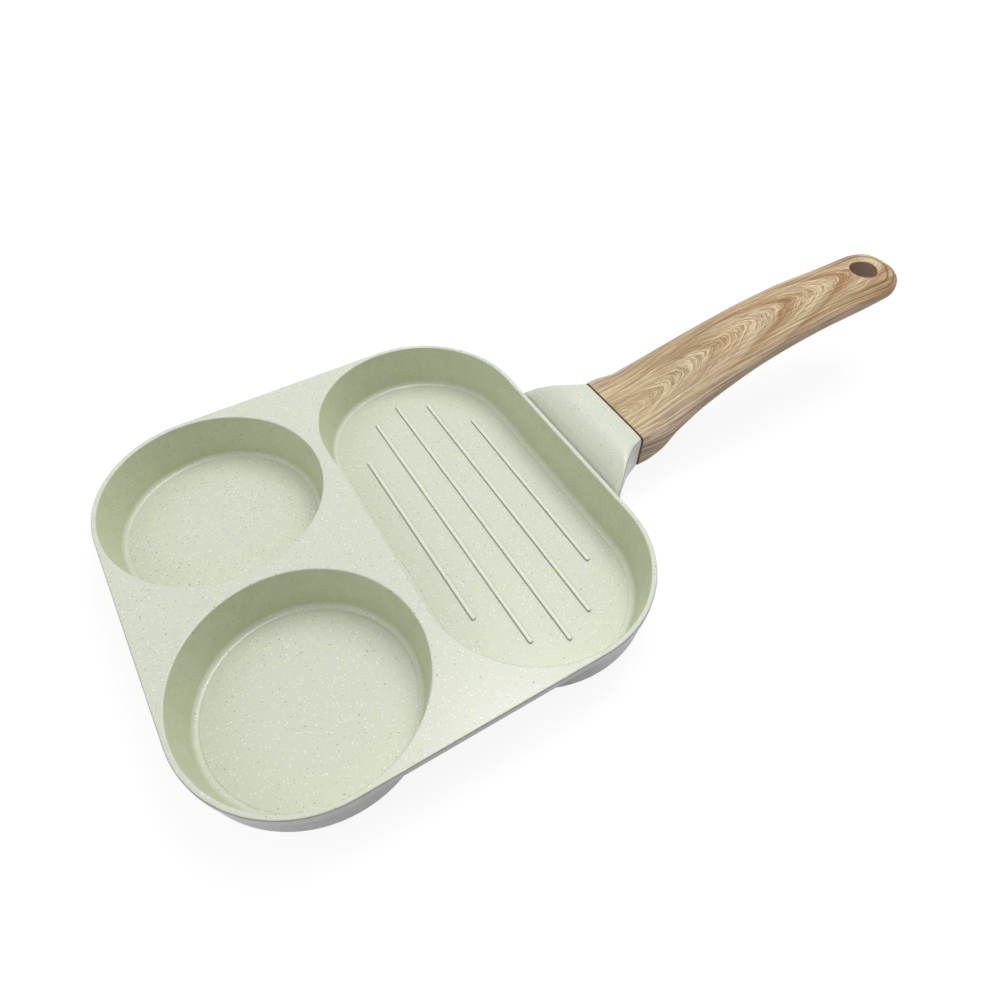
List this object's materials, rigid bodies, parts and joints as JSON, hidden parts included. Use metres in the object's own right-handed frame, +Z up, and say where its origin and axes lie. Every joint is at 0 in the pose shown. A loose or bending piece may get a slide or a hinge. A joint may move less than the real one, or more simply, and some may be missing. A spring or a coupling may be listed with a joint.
{
  "type": "divided frying pan",
  "caption": "Low frying pan cast with separate round wells and a long ribbed grill well, with a long wood-look handle.",
  "frame": {"origin": "centre of the flat underside of the grill well", "axes": "+X from the wells towards the handle's tail, +Z up through the rim, +Y to the left when looking along +X"},
  "size_m": [0.4273, 0.2106, 0.0555],
  "materials": {
    "coated_aluminium": "satin speckled ceramic coating, pale sage green",
    "wood_look_phenolic": "satin phenolic moulding with a light wood-grain film",
    "zinc_steel": "bright zinc plate"
  },
  "bodies": {
    "root": {"pan_body": "coated_aluminium", "handle": "wood_look_phenolic", "handle_screw": "zinc_steel"}
  },
  "joints": []
}
